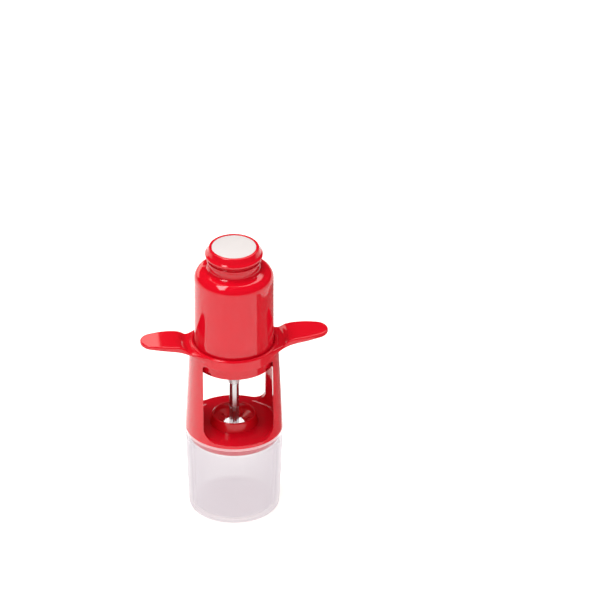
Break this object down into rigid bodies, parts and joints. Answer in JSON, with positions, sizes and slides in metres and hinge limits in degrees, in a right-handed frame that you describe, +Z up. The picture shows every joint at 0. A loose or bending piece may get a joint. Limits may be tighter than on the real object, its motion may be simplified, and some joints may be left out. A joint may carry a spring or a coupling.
{
  "type": "cherry pitter",
  "caption": "Hand cherry pitter: a sprung plunger in a barrel with finger wings pushes a steel rod through a windowed chamber over a see-through pit cup.",
  "frame": {"origin": "centre of the cup's foot, on the surface that the pitter stands on", "axes": "+Z up along the barrel's axis, +X along the right finger wing, -Y towards the front window"},
  "size_m": [0.0928, 0.048, 0.1464],
  "materials": {
    "frosted_cup": "frosted, see-through",
    "red_plastic": "high gloss moulded",
    "seat_plastic": "satin moulded",
    "bush_plastic": "satin moulded",
    "stem_plastic": "smooth moulded",
    "pad_white": "satin white",
    "rod_steel": "ground stainless",
    "clear_sleeve": "clear moulded",
    "plate_white": "plain moulded",
    "spring_steel": "drawn wire"
  },
  "bodies": {
    "cup": {"pit_cup": "frosted_cup"},
    "housing": {"winged_chamber": "red_plastic", "cherry_seat": "seat_plastic", "barrel": "red_plastic", "neck_bush": "bush_plastic", "needle_guide": "clear_sleeve", "guide_plate": "plate_white", "return_spring": "spring_steel"},
    "plunger": {"plunger_stem": "stem_plastic", "plunger_cap": "red_plastic", "thumb_pad": "pad_white", "pitting_rod": "rod_steel"}
  },
  "joints": [
    {"name": "cup_pull_off", "type": "slide", "parent": "cup", "child": "housing", "axis": [0, 0, 1], "range_m": [0, 0.03]},
    {"name": "plunger_slide", "type": "slide", "parent": "housing", "child": "plunger", "axis": [0, 0, 1], "range_m": [0, 0.0364], "stiffness_N_per_m": 200, "springref_m": 0.046, "deforming": ["return_spring"]}
  ]
}
